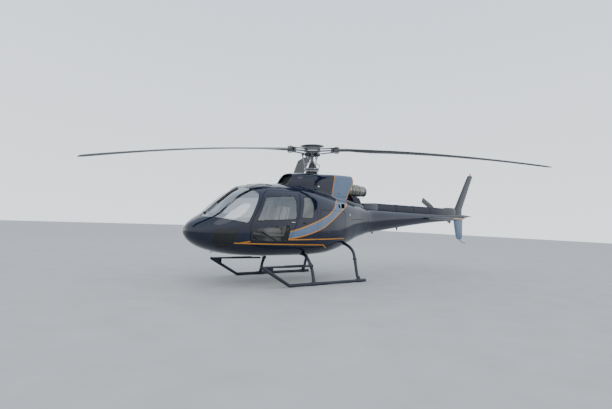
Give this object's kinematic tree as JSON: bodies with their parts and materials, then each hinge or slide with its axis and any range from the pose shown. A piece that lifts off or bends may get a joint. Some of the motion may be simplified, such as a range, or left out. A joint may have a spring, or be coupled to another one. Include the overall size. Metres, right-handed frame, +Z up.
{
  "type": "helicopter",
  "caption": "Light helicopter on tall skids, with a round cabin, a slim tail boom, a drooping main rotor, a tail rotor and doors that open.",
  "frame": {"origin": "on the ground under the middle of the outer box; the fuselage's middle plane is at x = -0.133 m, because the parked blades reach further to port", "axes": "+Z up, -Y towards the nose, +X to the port side"},
  "size_m": [9.4198, 12.9082, 3.3739],
  "materials": {
    "navy_skin": "gloss paint",
    "light_blue_skin": "gloss paint",
    "window_glass": "clear",
    "interior_panels": "matt",
    "seat_cloth": "woven",
    "dark_plastic": "matt",
    "gearbox_metal": "satin",
    "engine_metal": "satin",
    "exhaust_metal": "heat stained",
    "gear_tube": "gloss paint",
    "boom_skin": "gloss paint",
    "rotor_metal": "satin paint",
    "blade_skin": "satin paint"
  },
  "bodies": {
    "airframe": {"nose_shell": "navy_skin", "belly_shell": "navy_skin", "rear_body_shell": "navy_skin", "canopy_frame": "navy_skin", "windshield_left": "window_glass", "windshield_right": "window_glass", "roof_window_left": "window_glass", "roof_window_right": "window_glass", "chin_window_left": "window_glass", "chin_window_right": "window_glass", "cabin_floor": "interior_panels", "front_seat_left": "seat_cloth", "front_seat_right": "seat_cloth", "rear_bench": "seat_cloth", "instrument_console": "dark_plastic", "gearbox_cowling": "navy_skin", "engine_cowling": "light_blue_skin", "main_gearbox": "gearbox_metal", "engine_block": "engine_metal", "exhaust_nozzle": "exhaust_metal", "drive_shaft_cover": "boom_skin", "tail_gearbox": "dark_plastic", "upper_fin": "boom_skin", "lower_fin": "light_blue_skin", "stabiliser": "boom_skin", "tail_boom": "boom_skin", "front_cross_tube": "gear_tube", "rear_cross_tube": "gear_tube", "skid_left": "gear_tube", "skid_right": "gear_tube"},
    "main_rotor": {"rotor_head": "rotor_metal", "main_blade_1": "blade_skin", "main_blade_2": "blade_skin", "main_blade_3": "blade_skin"},
    "tail_rotor": {"tail_rotor_blades": "blade_skin"},
    "left_front_door": {"left_front_door": "navy_skin", "left_front_door_window": "window_glass", "left_front_door_pane": "window_glass"},
    "left_rear_door": {"left_rear_door": "navy_skin", "left_rear_door_window": "window_glass"},
    "left_baggage_door": {"left_baggage_door": "navy_skin"},
    "right_front_door": {"right_front_door": "navy_skin", "right_front_door_window": "window_glass", "right_front_door_pane": "window_glass"},
    "right_rear_door": {"right_rear_door": "navy_skin", "right_rear_door_window": "window_glass"},
    "right_baggage_door": {"right_baggage_door": "navy_skin"}
  },
  "joints": [
    {"name": "main_rotor_spin", "type": "hinge", "parent": "airframe", "child": "main_rotor", "pos_m": [-0.133, -1.1175, 3.2], "axis": [0, -0.0332, 0.9995], "continuous": true},
    {"name": "tail_rotor_spin", "type": "hinge", "parent": "airframe", "child": "tail_rotor", "pos_m": [-0.593, 4.9925, 1.94], "axis": [1, 0, 0], "continuous": true},
    {"name": "left_front_door_hinge", "type": "hinge", "parent": "airframe", "child": "left_front_door", "pos_m": [0.723, -3.3795, 1.15], "axis": [0, 0, -1], "range_deg": [0, 80]},
    {"name": "left_rear_door_hinge", "type": "hinge", "parent": "airframe", "child": "left_rear_door", "pos_m": [0.8, -1.5915, 1.25], "axis": [0, 0, 1], "range_deg": [0, 90]},
    {"name": "left_baggage_door_hinge", "type": "hinge", "parent": "airframe", "child": "left_baggage_door", "pos_m": [0.689, -1.1175, 1.705], "axis": [0.1599, -0.9871, 0], "range_deg": [0, 90]},
    {"name": "right_front_door_hinge", "type": "hinge", "parent": "airframe", "child": "right_front_door", "pos_m": [-0.989, -3.3795, 1.15], "axis": [0, 0, 1], "range_deg": [0, 80]},
    {"name": "right_rear_door_hinge", "type": "hinge", "parent": "airframe", "child": "right_rear_door", "pos_m": [-1.066, -1.5915, 1.25], "axis": [0, 0, -1], "range_deg": [0, 90]},
    {"name": "right_baggage_door_hinge", "type": "hinge", "parent": "airframe", "child": "right_baggage_door", "pos_m": [-0.955, -1.1175, 1.705], "axis": [0.1599, 0.9871, 0], "range_deg": [0, 90]}
  ]
}
